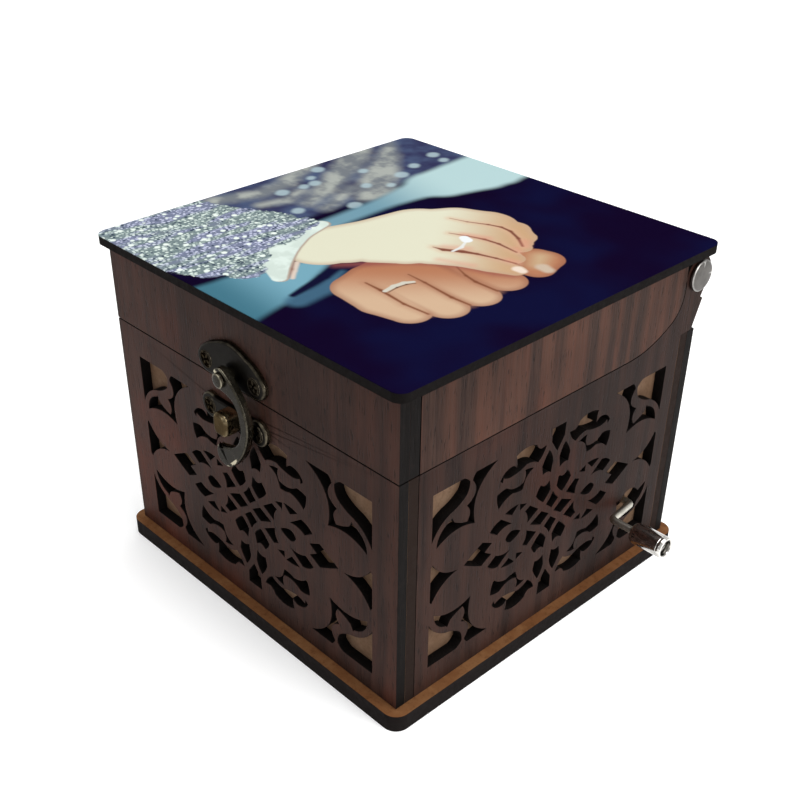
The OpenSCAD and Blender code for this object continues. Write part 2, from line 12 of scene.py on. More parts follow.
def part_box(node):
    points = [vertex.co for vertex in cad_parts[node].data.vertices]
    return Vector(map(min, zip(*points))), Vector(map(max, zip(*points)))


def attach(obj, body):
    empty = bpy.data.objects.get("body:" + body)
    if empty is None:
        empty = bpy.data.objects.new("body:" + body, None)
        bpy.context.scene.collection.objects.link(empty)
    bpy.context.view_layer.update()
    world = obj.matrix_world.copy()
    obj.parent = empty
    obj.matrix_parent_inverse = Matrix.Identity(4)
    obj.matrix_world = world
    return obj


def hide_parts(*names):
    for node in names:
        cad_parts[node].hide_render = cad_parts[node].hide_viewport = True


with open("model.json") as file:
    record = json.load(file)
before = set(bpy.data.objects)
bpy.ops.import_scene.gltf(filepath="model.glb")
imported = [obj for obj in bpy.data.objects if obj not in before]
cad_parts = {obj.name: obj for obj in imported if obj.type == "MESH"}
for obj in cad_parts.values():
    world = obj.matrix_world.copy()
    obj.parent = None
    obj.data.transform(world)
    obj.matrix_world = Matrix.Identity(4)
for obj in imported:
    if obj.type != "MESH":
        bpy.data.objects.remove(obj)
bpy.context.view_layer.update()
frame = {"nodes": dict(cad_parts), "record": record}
nodes = frame["nodes"]
MM = 0.001


def middle(node):
    low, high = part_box(node)
    return (Vector(low) + Vector(high)) / 2


# ---- Shader trees ----


def socket_name(keyword):
    """The name of a socket given as a keyword: break_up is Break Up."""
    return keyword.replace("_", " ").title().replace("Ior", "IOR")


class Tree:
    """Places shader nodes in one tree; a value given as a socket is linked."""

    def __init__(self, tree):
        self.tree = tree

    def add(self, kind, inputs=None, **settings):
        node = self.tree.nodes.new(kind)
        for name, value in settings.items():
            setattr(node, name, value)
        for key, value in (inputs or {}).items():
            if isinstance(value, bpy.types.NodeSocket):
                self.tree.links.new(value, node.inputs[key])
            else:
                node.inputs[key].default_value = value
        return node

    def math(self, operation, a, b=0.0, c=0.0):
        return self.add("ShaderNodeMath", {0: a, 1: b, 2: c}, operation=operation).outputs[0]

    def vector(self, operation, a, b=(0, 0, 0)):
        node = self.add("ShaderNodeVectorMath", {0: a, 1: b}, operation=operation)
        return node.outputs["Value" if operation in ("DOT_PRODUCT", "LENGTH") else "Vector"]

    def mix(self, amount, a, b, blend="MIX"):
        node = self.add("ShaderNodeMix", {0: amount, 6: a, 7: b}, data_type="RGBA",
                        blend_type=blend)
        return node.outputs[2]

    def step(self, value, low, high, to_low=0.0, to_high=1.0):
        return self.add("ShaderNodeMapRange", {
            "Value": value, "From Min": low, "From Max": high, "To Min": to_low,
            "To Max": to_high}, interpolation_type="SMOOTHSTEP", clamp=False).outputs["Result"]

    def coords(self):
        return self.add("ShaderNodeTexCoord").outputs

    def join(self, x, y, z):
        return self.add("ShaderNodeCombineXYZ", {0: x, 1: y, 2: z}).outputs[0]

    def noise(self, vector, scale, detail=3.0, roughness=0.55):
        return self.add("ShaderNodeTexNoise", {
            "Vector": vector, "Scale": scale, "Detail": detail,
            "Roughness": roughness}).outputs["Fac"]

    def stretched(self, vector, scale, shift=(0, 0, 0)):
        return self.add("ShaderNodeMapping", {
            "Vector": vector, "Scale": scale, "Location": shift}).outputs["Vector"]

    def place(self, group, **inputs):
        named = {socket_name(name): value for name, value in inputs.items()}
        return self.add("ShaderNodeGroup", named, node_tree=group).outputs


def new_group(name, inputs, outputs):
    """A shader node group with named sockets; gives its tree, its inputs and its output node."""
    group = bpy.data.node_groups.new(name, "ShaderNodeTree")
    for socket, kind, default in inputs:
        made = group.interface.new_socket(socket, in_out="INPUT", socket_type=kind)
        made.default_value = default
    for socket, kind in outputs:
        group.interface.new_socket(socket, in_out="OUTPUT", socket_type=kind)
    t = Tree(group)
    start = t.add("NodeGroupInput")
    end = t.add("NodeGroupOutput")
    return group, t, start.outputs, end


def finish_group(group, end, **values):
    for name, value in values.items():
        group.links.new(value, end.inputs[socket_name(name)])
    return group


def make_wood_grain():
    """Upright grain: wide bands, fine fibres and short dark pores."""
    group, t, given, end = new_group(
        "wood grain",
        [("Point", "NodeSocketVector", (0, 0, 0)), ("Shift", "NodeSocketVector", (0, 0, 0)),
         ("Run", "NodeSocketFloat", 0.05)],
        [("Bands", "NodeSocketFloat"), ("Fibres", "NodeSocketFloat"),
         ("Pores", "NodeSocketFloat")])
    moved = t.vector("ADD", given["Point"], given["Shift"])
    along = t.vector("MULTIPLY", moved, t.join(1.0, 1.0, given["Run"]))
    waver = t.noise(moved, 60, 2)
    sway = t.vector("MULTIPLY", t.join(waver, waver, 0.0), (0.0012, 0.0012, 0))
    bent = t.vector("ADD", along, sway)
    bands = t.step(t.noise(bent, 190, 2, 0.6), 0.36, 0.66)
    fibres = t.step(t.noise(bent, 1500, 3, 0.7), 0.32, 0.7)
    dashes = t.vector("MULTIPLY", moved, (1, 1, 0.14))
    pores = t.step(t.noise(dashes, 2300, 1, 0.5), 0.61, 0.72)
    return finish_group(group, end, bands=bands, fibres=fibres, pores=pores)


def make_cut_edge():
    """Mask of a board's cut edges: every face that doesn't look along its thickness."""
    group, t, given, end = new_group(
        "cut edge", [("Thickness", "NodeSocketVector", (0, 1, 0))],
        [("Cut", "NodeSocketFloat"), ("Scorch", "NodeSocketFloat")])
    coords = t.coords()
    along = t.math("ABSOLUTE", t.vector("DOT_PRODUCT", coords["Normal"], given["Thickness"]))
    cut = t.step(along, 0.9, 0.6)
    scorch = t.noise(coords["Object"], 420, 4, 0.7)
    return finish_group(group, end, cut=cut, scorch=scorch)


def make_edge_wear_and_highlight():
    """Bright convex edges of a plated piece, broken up by fine noise: partly real wear, partly a
    painted highlight.
    """
    group, t, given, end = new_group(
        "edge wear and highlight", [("Spread", "NodeSocketFloat", 0.04), ("Break Up", "NodeSocketFloat", 900.0)],
        [("Worn", "NodeSocketFloat"), ("Mottle", "NodeSocketFloat")])
    coords = t.coords()
    sharp = t.add("ShaderNodeNewGeometry").outputs["Pointiness"]
    rough = t.noise(coords["Object"], given["Break Up"], 3, 0.6)
    lift = t.math("MULTIPLY", t.math("SUBTRACT", rough, 0.5), 0.03)
    level = t.math("ADD", sharp, lift)
    # Convex edges get the bright mask: partly real wear, partly a painted highlight.
    worn = t.step(level, 0.52, t.math("ADD", 0.52, given["Spread"]))
    mottle = t.noise(coords["Object"], 350, 4, 0.65)
    return finish_group(group, end, worn=worn, mottle=mottle)


def make_limb():
    """Distance outside a tapering rounded stroke; negative inside it."""
    names = ["X", "Y", "Start X", "Start Y", "Run X", "Run Y", "Span", "Width", "Taper"]
    group, t, given, end = new_group(
        "drawn limb", [(name, "NodeSocketFloat", 1.0) for name in names],
        [("Beyond", "NodeSocketFloat")])
    out_x = t.math("SUBTRACT", given["X"], given["Start X"])
    out_y = t.math("SUBTRACT", given["Y"], given["Start Y"])
    reach = t.math("MULTIPLY_ADD", out_y, given["Run Y"], t.math(
        "MULTIPLY", out_x, given["Run X"]))
    share = t.math("DIVIDE", reach, given["Span"])
    share = t.math("MINIMUM", t.math("MAXIMUM", share, 0.0), 1.0)
    off_x = t.math("SUBTRACT", out_x, t.math("MULTIPLY", share, given["Run X"]))
    off_y = t.math("SUBTRACT", out_y, t.math("MULTIPLY", share, given["Run Y"]))
    off = t.math("SQRT", t.math("MULTIPLY_ADD", off_x, off_x, t.math("MULTIPLY", off_y, off_y)))
    width = t.math("MULTIPLY_ADD", share, given["Taper"], given["Width"])
    return finish_group(group, end, beyond=t.math("SUBTRACT", off, width))


WOOD_GRAIN = make_wood_grain()
CUT_EDGE = make_cut_edge()
EDGE_WEAR_AND_HIGHLIGHT = make_edge_wear_and_highlight()
DRAWN_LIMB = make_limb()


def new_material(name, **shader):
    """A material with one Principled shader; plain values are set on its own sockets."""
    material = bpy.data.materials.new(name)
    material.use_nodes = True
    tree = material.node_tree
    tree.nodes.clear()
    t = Tree(tree)
    inputs = {socket_name(name): value for name, value in shader.items()}
    surface = t.add("ShaderNodeBsdfPrincipled", inputs)
    output = t.add("ShaderNodeOutputMaterial")
    tree.links.new(surface.outputs[0], output.inputs[0])
    return material, t, surface


def link(t, surface, **sockets):
    for name, value in sockets.items():
        t.tree.links.new(value, surface.inputs[socket_name(name)])


def bump(t, height, strength, depth):
    return t.add("ShaderNodeBump", {"Height": height, "Strength": strength,
                                    "Distance": depth}).outputs[0]


# ---- Finishes ----

BURNT = (0.0055, 0.0045, 0.0042, 1)
ASH = (0.016, 0.011, 0.009, 1)


def veneer(name, thickness, shift, dark, red, light):
    """Dark stained veneer on a laser-cut board, with burnt edges and patches of painted reddish
    highlight.
    """
    material, t, surface = new_material(name, specular_ior_level=0.04)
    point = t.coords()["Object"]
    grain = t.place(WOOD_GRAIN, point=point, shift=shift, run=0.035)
    cut = t.place(CUT_EDGE, thickness=thickness)
    base = t.mix(grain["Bands"], dark, red)
    streaked = t.mix(t.math("MULTIPLY", grain["Fibres"], 0.55), base, light)
    clouds = t.step(t.noise(point, 28, 2), 0.35, 0.7, 0.78, 1.12)
    shaded = t.mix(1.0, streaked, t.join(clouds, clouds, clouds), "MULTIPLY")
    # Painted highlight: random patches made lighter and redder, standing for reddish highlights on
    # the veneer.
    warm_highlight = t.step(t.noise(t.vector("ADD", point, shift), 24, 2), 0.52, 0.68, 0, 0.55)
    highlighted = t.mix(warm_highlight, shaded, t.mix(1.0, shaded, (1.7, 0.95, 0.7, 1), "MULTIPLY"))
    pored = t.mix(t.math("MULTIPLY", grain["Pores"], 0.6), highlighted, BURNT)
    ash = t.mix(t.step(cut["Scorch"], 0.5, 0.8, 0, 0.5), BURNT, ASH)
    link(t, surface, base_color=t.mix(cut["Cut"], pored, ash),
         roughness=t.math("ADD", t.math("MULTIPLY", grain["Fibres"], 0.14),
                          t.step(cut["Cut"], 0, 1, 0.4, 0.55)))
    relief = t.math("SUBTRACT", t.math("MULTIPLY", grain["Fibres"], 0.5),
                    t.math("MULTIPLY", grain["Pores"], 0.9))
    link(t, surface, normal=bump(t, relief, 0.35, 0.00012))
    return material


def bare_board(name, thickness, colours, edge, shift):
    """Bare fibreboard: fine mottling, and darker where the laser cut it."""
    material, t, surface = new_material(name, specular_ior_level=0.03)
    point = t.coords()["Object"]
    cut = t.place(CUT_EDGE, thickness=thickness)
    moved = t.stretched(point, (1, 1, 1), shift)
    felt = t.noise(moved, 700, 4, 0.7)
    stain = t.step(t.noise(moved, 90, 4, 0.65), 0.38, 0.68)
    plain, stained, fleck = colours
    colour = t.mix(stain, plain, stained)
    colour = t.mix(t.step(felt, 0.45, 0.75, 0, 0.6), colour, fleck)
    link(t, surface, base_color=t.mix(cut["Cut"], colour, edge),
         roughness=t.step(felt, 0.3, 0.7, 0.6, 0.8), normal=bump(t, felt, 0.25, 0.0001))
    return material


def plated(name, base, worn, rough, wear=0.05, scratch=0.0, glance=1.0):
    """Plated or plain metal: mottled, brighter on its edges from wear and a painted highlight;
    glance dims slanting reflections.
    """
    material, t, surface = new_material(name, metallic=1.0,
                                        specular_tint=(glance, glance, glance, 1))
    point = t.coords()["Object"]
    marks = t.place(EDGE_WEAR_AND_HIGHLIGHT, spread=wear, break_up=1100.0)
    dull = tuple(0.72 * c for c in base[:3]) + (1,)
    tint = t.mix(t.step(marks["Mottle"], 0.35, 0.7), base, dull)
    # Edges take the bright colour: partly real wear, partly a painted highlight.
    link(t, surface, base_color=t.mix(marks["Worn"], tint, worn))
    uneven = t.math("ADD", rough, t.math("MULTIPLY", marks["Mottle"], 0.16))
    rubbed = t.math("MULTIPLY", marks["Worn"], 0.1)
    link(t, surface, roughness=t.math("SUBTRACT", uneven, rubbed))
    if scratch:
        link(t, surface, normal=bump(t, t.noise(point, 2600, 2, 0.6), scratch, 0.00005))
    return material


# The way that a board's thickness runs.
X_BOARD = (1, 0, 0)
Y_BOARD = (0, 1, 0)
Z_BOARD = (0, 0, 1)

front_veneer = veneer("front veneer", Y_BOARD, shift=(0.31, 0.1, 0.07),
                      dark=(0.021, 0.0105, 0.0085, 1), red=(0.042, 0.0165, 0.0115, 1),
                      light=(0.05, 0.027, 0.021, 1))
lid_side_veneer = veneer("lid side veneer", X_BOARD, shift=(0.05, 0.2, 0.33),
                         dark=(0.023, 0.0125, 0.01, 1), red=(0.07, 0.028, 0.018, 1),
                         light=(0.07, 0.04, 0.03, 1))
side_veneer = veneer("side veneer", X_BOARD, shift=(0.12, 0.17, 0.25),
                     dark=(0.013, 0.007, 0.0058, 1), red=(0.033, 0.0145, 0.0104, 1),
                     light=(0.036, 0.0215, 0.0175, 1))

# Bare boards: plain, stained and flecked colours.
CHAR = [(0.009, 0.0068, 0.0064, 1), (0.009, 0.0068, 0.0064, 1), (0.014, 0.0105, 0.0095, 1)]
TAN = [(0.125, 0.074, 0.045, 1), (0.17, 0.108, 0.07, 1), (0.085, 0.048, 0.03, 1)]
HONEY = [(0.15, 0.062, 0.024, 1), (0.2, 0.095, 0.04, 1), (0.07, 0.027, 0.011, 1)]
PALE_TAN = [(0.2, 0.13, 0.085, 1), (0.27, 0.18, 0.12, 1), (0.14, 0.085, 0.055, 1)]
TAN_EDGE = (0.016, 0.01, 0.008, 1)

burnt_edge = bare_board("burnt edge", Z_BOARD, CHAR, BURNT, (0, 0, 0))
tan_front = bare_board("tan board front", Y_BOARD, TAN, TAN_EDGE, (0.2, 0, 0))
tan_side = bare_board("tan board side", X_BOARD, TAN, TAN_EDGE, (0, 0.2, 0))
base_board = bare_board("base board", Z_BOARD, HONEY, (0.009, 0.007, 0.0066, 1), (0, 0, 0))
floor_board = bare_board("storage floor board", Z_BOARD, PALE_TAN, (0.02, 0.013, 0.01, 1),
                         (0, 0.1, 0))

# Second colour of each metal: its bright edges, partly real wear and partly a painted highlight.
dark_bronze = plated("dark bronze", (0.01, 0.0088, 0.0076, 1), (0.34, 0.29, 0.2, 1),
                     rough=0.24, wear=0.08, scratch=0.15, glance=0.6)
screw_bronze = plated("screw bronze", (0.0085, 0.007, 0.0055, 1), (0.13, 0.11, 0.08, 1),
                      rough=0.24, wear=0.12, scratch=0.1, glance=0.35)
hook_bronze = plated("hook bronze", (0.022, 0.0195, 0.0155, 1), (0.42, 0.38, 0.28, 1),
                     rough=0.2, wear=0.07, scratch=0.12, glance=0.7)
stud_brass = plated("stud brass", (0.055, 0.038, 0.019, 1), (0.75, 0.6, 0.36, 1),
                    rough=0.2, scratch=0.1, glance=0.5)
polished_nickel = plated("polished nickel", (0.62, 0.6, 0.57, 1), (0.8, 0.78, 0.74, 1),
                         rough=0.06)
crank_nickel = plated("crank nickel", (0.56, 0.535, 0.46, 1), (0.8, 0.78, 0.72, 1), rough=0.26)
satin_nickel = plated("satin nickel", (0.1, 0.093, 0.086, 1), (0.4, 0.39, 0.37, 1),
                      rough=0.3, scratch=0.1)
ground_steel = plated("ground steel", (0.5, 0.5, 0.5, 1), (0.75, 0.75, 0.74, 1),
                      rough=0.24, scratch=0.1)
zinc_casting = plated("zinc casting", (0.33, 0.32, 0.3, 1), (0.5, 0.5, 0.48, 1),
                      rough=0.38, scratch=0.2)
turned_brass = plated("turned brass", (0.6, 0.42, 0.17, 1), (0.82, 0.64, 0.34, 1),
                      rough=0.2, scratch=0.08)

# ---- Printed sheet on the lid: two joined hands on a dark blue ground ----

# Strokes run through points in millimetres from the lid's middle, each with its half width.
CLOTH = [[(-60, 62, 28), (-58, 0, 31), (-52, -20, 26)]]
CLOTH_FOLDS = [
    [(-62, 40, 4), (-53, 30, 4.5), (-46, 18, 4), (-38, 4, 3), (-35, -3, 2)],
    [(-57, 49, 1.5), (-49, 41, 3), (-38, 27, 5.5), (-30, 18, 5.5), (-27, 12, 3)],
    [(-60, 18, 3), (-51, 2, 3), (-50, -8, 3.2), (-54, -20, 3)],
    [(-36, 14, 2), (-31, 4, 2), (-29, -2, 1.5)],
    [(-44, 2, 1.5), (-41, -6, 2), (-43, -13, 1.5)],
]
CLOTH_LIGHTS = [(-54, 17, 1.9), (-46, 9, 1.7), (-46, 5, 1.4), (-46.5, -2.5, 1.9), (-34, 32, 2),
                (-34.5, 18.5, 1.5), (-25.5, 6, 2), (-40, 51, 1.8), (-34.5, 50, 1.4),
                (-44, 26, 1.4), (-37, 40, 1.6), (-33, -8, 1.7), (-30, 24, 1.2), (-50, 11, 1.2)]
LIGHT_DRIFT = (0.4, -0.6)
PALE_STRIP = [[(-20, 62, 12), (-19.5, 46, 11.5), (-21, 34, 9.5), (-21.5, 24, 5), (-21, 12, 3.2),
               (-20, -8, 3)], [(-16, 51, 8.6), (-18, 38, 7)]]
TEAL_PATCH = [[(-3, -27, 3), (-1, -38, 6), (-1, -50, 10.5), (0, -64, 13)]]
TEAL_SLIVER = [[(5, -26, 0.8), (9.5, -36, 2.6), (10, -44, 3)]]
LAPEL = [[(1, -23, 1.4), (4, -31, 1.5), (7, -43, 0.9)]]
WARM_HAND = [
    [(12, -10, 8), (12, -22, 6.6), (14.5, -28.5, 7.2), (24, -30, 6.8), (32, -29.5, 5.4)],
    [(14, -20, 6), (27, -21, 5.6), (36, -21.5, 5.4)],
    [(14, -11, 6), (28, -11.4, 5.6), (36.8, -11.6, 5.4)],
    [(18, -1, 5), (28, -1, 5.4), (35.6, -1, 5.4)],
    [(31, 15, 5), (33.5, 15, 5.6), (36.4, 9.5, 4.4)],
]
WARM_CREASES = [
    [(22, -3.6, 0.15), (27, -5.6, 0.3), (31, -6.5, 0.4), (38, -6.5, 0.3)],
    [(17, -15.2, 0.15), (23, -15.6, 0.3), (33, -16.8, 0.4), (38.6, -16.6, 0.3)],
    [(13.5, -26, 0.25), (19, -26.2, 0.45), (28, -27.3, 0.35), (35.4, -26.9, 0.3)],
    [(27, 12, 0.4), (31, 8, 0.4), (35, 5.6, 0.3)],
]
THUMB_GLOW = [[(32, 16, 2.2), (34.5, 12, 2)]]
THUMB_NAIL = [[(36.4, 11.6, 1.8), (38.4, 11.2, 1.6)]]
WARM_RING = [[(20.9, -17.3, 0.5), (19.8, -19.4, 0.7), (19.5, -22.4, 0.75), (20, -25.8, 0.6)]]
WARM_RING_SHADE = [[(21.8, -17.5, 0.15), (20.8, -19.5, 0.2), (20.5, -22.3, 0.2),
                    (21, -25.6, 0.15)]]
FAIR_HAND = [
    [(-3, 9, 11.4), (-4.5, -4, 11.8), (-7.5, -14, 12), (-9, -20, 10.2)],
    [(-3, 10, 9.8), (2, 17, 10.2), (8, 21.2, 9.2)],
    [(0, -9, 10), (6, -5.5, 8.6), (12, -2.6, 6.2), (20, 1.2, 4.7), (27, 3.4, 4.1),
     (33, 5.2, 3)],
    [(8, 21.4, 9), (15, 23.6, 5.6), (20.6, 22, 4), (23.8, 19.6, 2.2)],
    [(6, 15, 6), (14, 19, 5.2), (20, 18.2, 4.4), (24.6, 16.8, 3.2)],
    [(6, 6, 7), (16, 9.6, 4.8), (24, 10.9, 4.1), (28, 10.2, 3.2)],
]
FAIR_CREASES = [
    [(-1, 17.8, 0.05), (4, 19.4, 0.15), (9, 22, 0.3), (12.5, 23.2, 0.4), (16, 22.9, 0.45),
     (20.5, 20.8, 0.45), (24.6, 17.8, 0.4)],
    [(6, 10.4, 0.1), (10.5, 12.4, 0.3), (15, 14, 0.45), (19.5, 14.5, 0.4), (26, 13.8, 0.3)],
    [(9.5, 0.9, 0.1), (12.5, 1.6, 0.7), (16.5, 4.2, 0.8), (20, 5.8, 0.5), (25, 7.3, 0.35),
     (30.5, 8.5, 0.35)],
]
PINKY_SHADOW = [[(1, -24.5, 0.6), (6, -18, 1), (11.5, -10.5, 1), (18, -5, 0.8), (24, -2.1, 0.5),
                 (31, 0, 0.3), (35, 2.4, 0.2)]]
BLUSH = [[(23, 20.6, 1.3), (25, 18.4, 1)], [(24.5, 15.6, 0.9), (26, 14.8, 0.8)],
         [(28, 8.8, 1), (30, 9.2, 0.9)], [(9, 12.6, 0.9), (15, 15.4, 1)],
         [(11, 3.4, 0.9), (16, 6.8, 1.1)], [(16, -3.6, 1), (24, 0, 0.9)]]
FAIR_NAIL = [[(33, 6.4, 1.5), (34.6, 6.2, 1.2)]]
FAIR_RING = [[(13, 9, 0.35), (14.5, 6, 0.5), (14.7, 2.6, 0.4)]]
RING_STONE = [[(10.8, 10.9, 1.3), (12.3, 10.3, 1.5)]]
CUFF = [[(-21.5, -10, 2.2), (-19.6, -19, 2.9), (-15.6, -27.4, 3.7), (-9.4, -35, 3.6),
         (-2.6, -39.4, 1.9)]]
CUFF_SHADE = [[(x + 0.5, y + 0.3, width) for x, y, width in CUFF[0]]]
CUFF_FOLD = [[(-8.6, -30.6, 0.8), (-5, -34.4, 1), (-1.6, -37.6, 0.5)]]
CUFF_LIP = [[(-6.6, -30.6, 0.8), (-3.4, -34.2, 0.8), (-0.4, -37, 0.6)]]
SLEEVE = [[(-68, -46, 19), (-44, -35, 15.4), (-30, -24, 12.4), (-25, -13.5, 4.6)],
          [(-58, -54, 20), (-36, -45, 15.6), (-22, -40.6, 11), (-12, -42.4, 5.2)],
          [(-34, -52, 9), (-20, -46.4, 7.4)]]


def shape(t, point, paths, blend=0.8):
    """Distance outside the joined strokes in millimetres, with softened joins."""
    beyond = None
    for path in paths:
        for (x0, y0, w0), (x1, y1, w1) in zip(path, path[1:]):
            limb = t.place(DRAWN_LIMB, x=point[0], y=point[1], start_x=x0, start_y=y0,
                           run_x=x1 - x0, run_y=y1 - y0,
                           span=(x1 - x0) ** 2 + (y1 - y0) ** 2, width=w0,
                           taper=w1 - w0)["Beyond"]
            beyond = limb if beyond is None else t.math("SMOOTH_MIN", beyond, limb, blend)
    return beyond


def slope(t, point, across, along):
    """A value that rises across the sheet in one direction."""
    return t.math("MULTIPLY_ADD", point[0], across, t.math("MULTIPLY", point[1], along))


def lay(t, point, canvas, paths, colour, soft=0.3, share=1.0):
    """Paints the joined strokes over the canvas in one colour."""
    return t.mix(t.step(shape(t, point, paths), soft, -soft, 0, share), canvas, colour)


def skin(t, point, canvas, paths, toward, span, pale, deep, outline):
    """A hand that runs from one tone to another along a direction, darker at its outline."""
    beyond = shape(t, point, paths, 0.5)
    tone = t.mix(t.step(slope(t, point, *toward), *span), pale, deep)
    tone = t.mix(t.step(beyond, -2.6, 0.2, 0, 0.6), tone, outline)
    return t.mix(t.step(beyond, 0.25, -0.25), canvas, tone)


def creases(t, point, canvas, paths, line, shade):
    """Thin dark lines between fingers, with a wide faint shade along them."""
    canvas = t.mix(t.step(shape(t, point, paths), 2.4, -0.4, 0, 0.5), canvas, shade)
    return lay(t, point, canvas, paths, line, 0.4)


def beadwork(t, point):
    """Small silver and glass beads in bands of lilac and green, with scattered pearls."""
    beads = t.add("ShaderNodeTexVoronoi", {"Vector": point, "Scale": 1.15, "Randomness": 0.9})
    pearls = t.add("ShaderNodeTexVoronoi", {"Vector": point, "Scale": 0.33, "Randomness": 0.85})
    pick = t.add("ShaderNodeSeparateColor", {"Color": beads.outputs["Color"]}).outputs
    sweep = t.noise(t.stretched(point, (0.16, 0.035, 1)), 1, 2)
    band = t.step(sweep, 0.46, 0.56)
    ground = t.mix(band, (0.25, 0.33, 0.33, 1), (0.25, 0.28, 0.42, 1))
    light = t.mix(band, (0.7, 0.82, 0.77, 1), (0.58, 0.62, 0.8, 1))
    glass = t.mix(t.step(pick[0], 0, 0.8), ground, light)
    glass = t.mix(t.step(pick[1], 0.84, 0.88), glass, (0.035, 0.055, 0.09, 1))
    shown = t.mix(t.step(beads.outputs["Distance"], 0.62, 0.36), t.mix(
        0.35, ground, (0.05, 0.07, 0.1, 1)), glass)
    pearl = t.step(pearls.outputs["Distance"], 0.31, 0.2)
    return t.mix(pearl, shown, (0.8, 0.9, 0.85, 1))


def dark_ground(t, flat):
    return t.mix(t.step(t.noise(flat, 0.03, 2), 0.38, 0.66), (0.0056, 0.0022, 0.018, 1),
                 (0.0048, 0.0052, 0.034, 1))


def draped_cloth(t, flat, point, canvas):
    """Blue-grey cloth with pale folds and soft spots of light, in the far corner."""
    murk = t.mix(t.step(t.noise(flat, 0.07, 3), 0.35, 0.65), (0.03, 0.03, 0.085, 1),
                 (0.07, 0.1, 0.19, 1))
    weave = t.mix(t.step(t.noise(flat, 0.11, 3), 0.4, 0.62), (0.18, 0.2, 0.22, 1),
                  (0.4, 0.43, 0.4, 1))
    canvas = lay(t, point, canvas, CLOTH, murk, 2)
    for fold in CLOTH_FOLDS:
        canvas = lay(t, point, canvas, [fold], weave, 2.6, 0.95)
    for x, y, r in CLOTH_LIGHTS:
        spot = [[(x, y, r), (x + LIGHT_DRIFT[0], y + LIGHT_DRIFT[1], r)]]
        canvas = lay(t, point, canvas, spot, (0.42, 0.55, 0.6, 1), 0.8, 0.75)
    return canvas


def blue_bands(t, point, canvas):
    """Pale band behind the hands, teal in front of them, and a dark lapel line."""
    pale = t.mix(t.step(slope(t, point, 0.2, 1), 2, 34),
                 (0.16, 0.31, 0.39, 1), (0.44, 0.62, 0.64, 1))
    canvas = lay(t, point, canvas, PALE_STRIP, pale, 1.8)
    teal = t.mix(t.step(slope(t, point, 0.1, 1), -56, -38),
                 (0.055, 0.17, 0.235, 1), (0.17, 0.37, 0.47, 1))
    canvas = lay(t, point, canvas, TEAL_PATCH, teal, 1.6)
    canvas = lay(t, point, canvas, TEAL_SLIVER, (0.06, 0.15, 0.24, 1), 1.6, 0.8)
    return lay(t, point, canvas, LAPEL, (0.006, 0.006, 0.03, 1), 0.7)


def warm_hand(t, point, canvas):
    """The hand underneath, with its thumb, knuckle creases and plain ring."""
    canvas = skin(t, point, canvas, WARM_HAND, (0.7, -0.7), (19, 38),
                  (0.43, 0.185, 0.1, 1), (0.6, 0.42, 0.28, 1), (0.28, 0.11, 0.07, 1))
    canvas = lay(t, point, canvas, THUMB_GLOW, (0.53, 0.38, 0.23, 1), 3)
    canvas = lay(t, point, canvas, THUMB_NAIL, (0.55, 0.44, 0.34, 1), 0.8)
    canvas = creases(t, point, canvas, WARM_CREASES, (0.2, 0.07, 0.035, 1),
                     (0.42, 0.2, 0.12, 1))
    canvas = lay(t, point, canvas, WARM_RING, (0.6, 0.58, 0.5, 1), 0.25)
    canvas = lay(t, point, canvas, WARM_RING_SHADE, (0.12, 0.06, 0.04, 1), 0.3)
    return lay(t, point, canvas, PINKY_SHADOW, (0.27, 0.075, 0.07, 1), 2.4)


def fair_hand(t, point, canvas):
    """The hand on top, with blushed knuckles and a ring with a stone."""
    canvas = skin(t, point, canvas, FAIR_HAND, (0.8, 0.6), (6, 30),
                  (0.7, 0.7, 0.55, 1), (0.54, 0.35, 0.2, 1), (0.5, 0.34, 0.24, 1))
    canvas = creases(t, point, canvas, FAIR_CREASES, (0.2, 0.07, 0.045, 1),
                     (0.66, 0.4, 0.27, 1))
    canvas = lay(t, point, canvas, BLUSH, (0.66, 0.27, 0.2, 1), 1.6, 0.45)
    canvas = lay(t, point, canvas, FAIR_NAIL, (0.78, 0.66, 0.56, 1), 0.6)
    canvas = lay(t, point, canvas, FAIR_RING, (0.72, 0.74, 0.72, 1), 0.25)
    return lay(t, point, canvas, RING_STONE, (0.8, 0.84, 0.86, 1), 0.3)


def cuff_and_sleeve(t, flat, point, canvas):
    """White linen cuff, and the ragged edge of the beaded sleeve over it."""
    canvas = lay(t, point, canvas, CUFF_LIP, (0.66, 0.56, 0.48, 1), 0.5)
    canvas = lay(t, point, canvas, CUFF_FOLD, (0.24, 0.1, 0.075, 1), 0.6)
    canvas = lay(t, point, canvas, CUFF_SHADE, (0.42, 0.34, 0.28, 1), 0.35)
    linen = t.mix(t.step(t.noise(flat, 0.2, 3), 0.4, 0.65), (0.6, 0.7, 0.65, 1),
                  (0.7, 0.81, 0.76, 1))
    canvas = lay(t, point, canvas, CUFF, linen, 0.35)
    ragged = t.math("ADD", shape(t, point, SLEEVE), t.math(
        "MULTIPLY", t.math("SUBTRACT", t.noise(flat, 0.5, 2), 0.5), 3.2))
    return t.mix(t.step(ragged, 0.4, -0.4), canvas, beadwork(t, flat))


def printed_sheet():
    """The whole picture, painted from the back forwards. point is in millimetres."""
    material, t, surface = new_material("printed sheet", specular_ior_level=0.0)
    flat = t.vector("MULTIPLY", t.coords()["Object"], (1000, 1000, 0))
    point = t.add("ShaderNodeSeparateXYZ", {0: flat}).outputs
    canvas = dark_ground(t, flat)
    canvas = draped_cloth(t, flat, point, canvas)
    canvas = blue_bands(t, point, canvas)
    canvas = warm_hand(t, point, canvas)
    canvas = fair_hand(t, point, canvas)
    canvas = cuff_and_sleeve(t, flat, point, canvas)
    link(t, surface, base_color=t.mix(1.0, canvas, (0.72, 0.71, 0.7, 1), "MULTIPLY"),
         roughness=t.step(t.noise(flat, 0.4, 3), 0.3, 0.7, 0.42, 0.5))
    return material


lid_picture = printed_sheet()

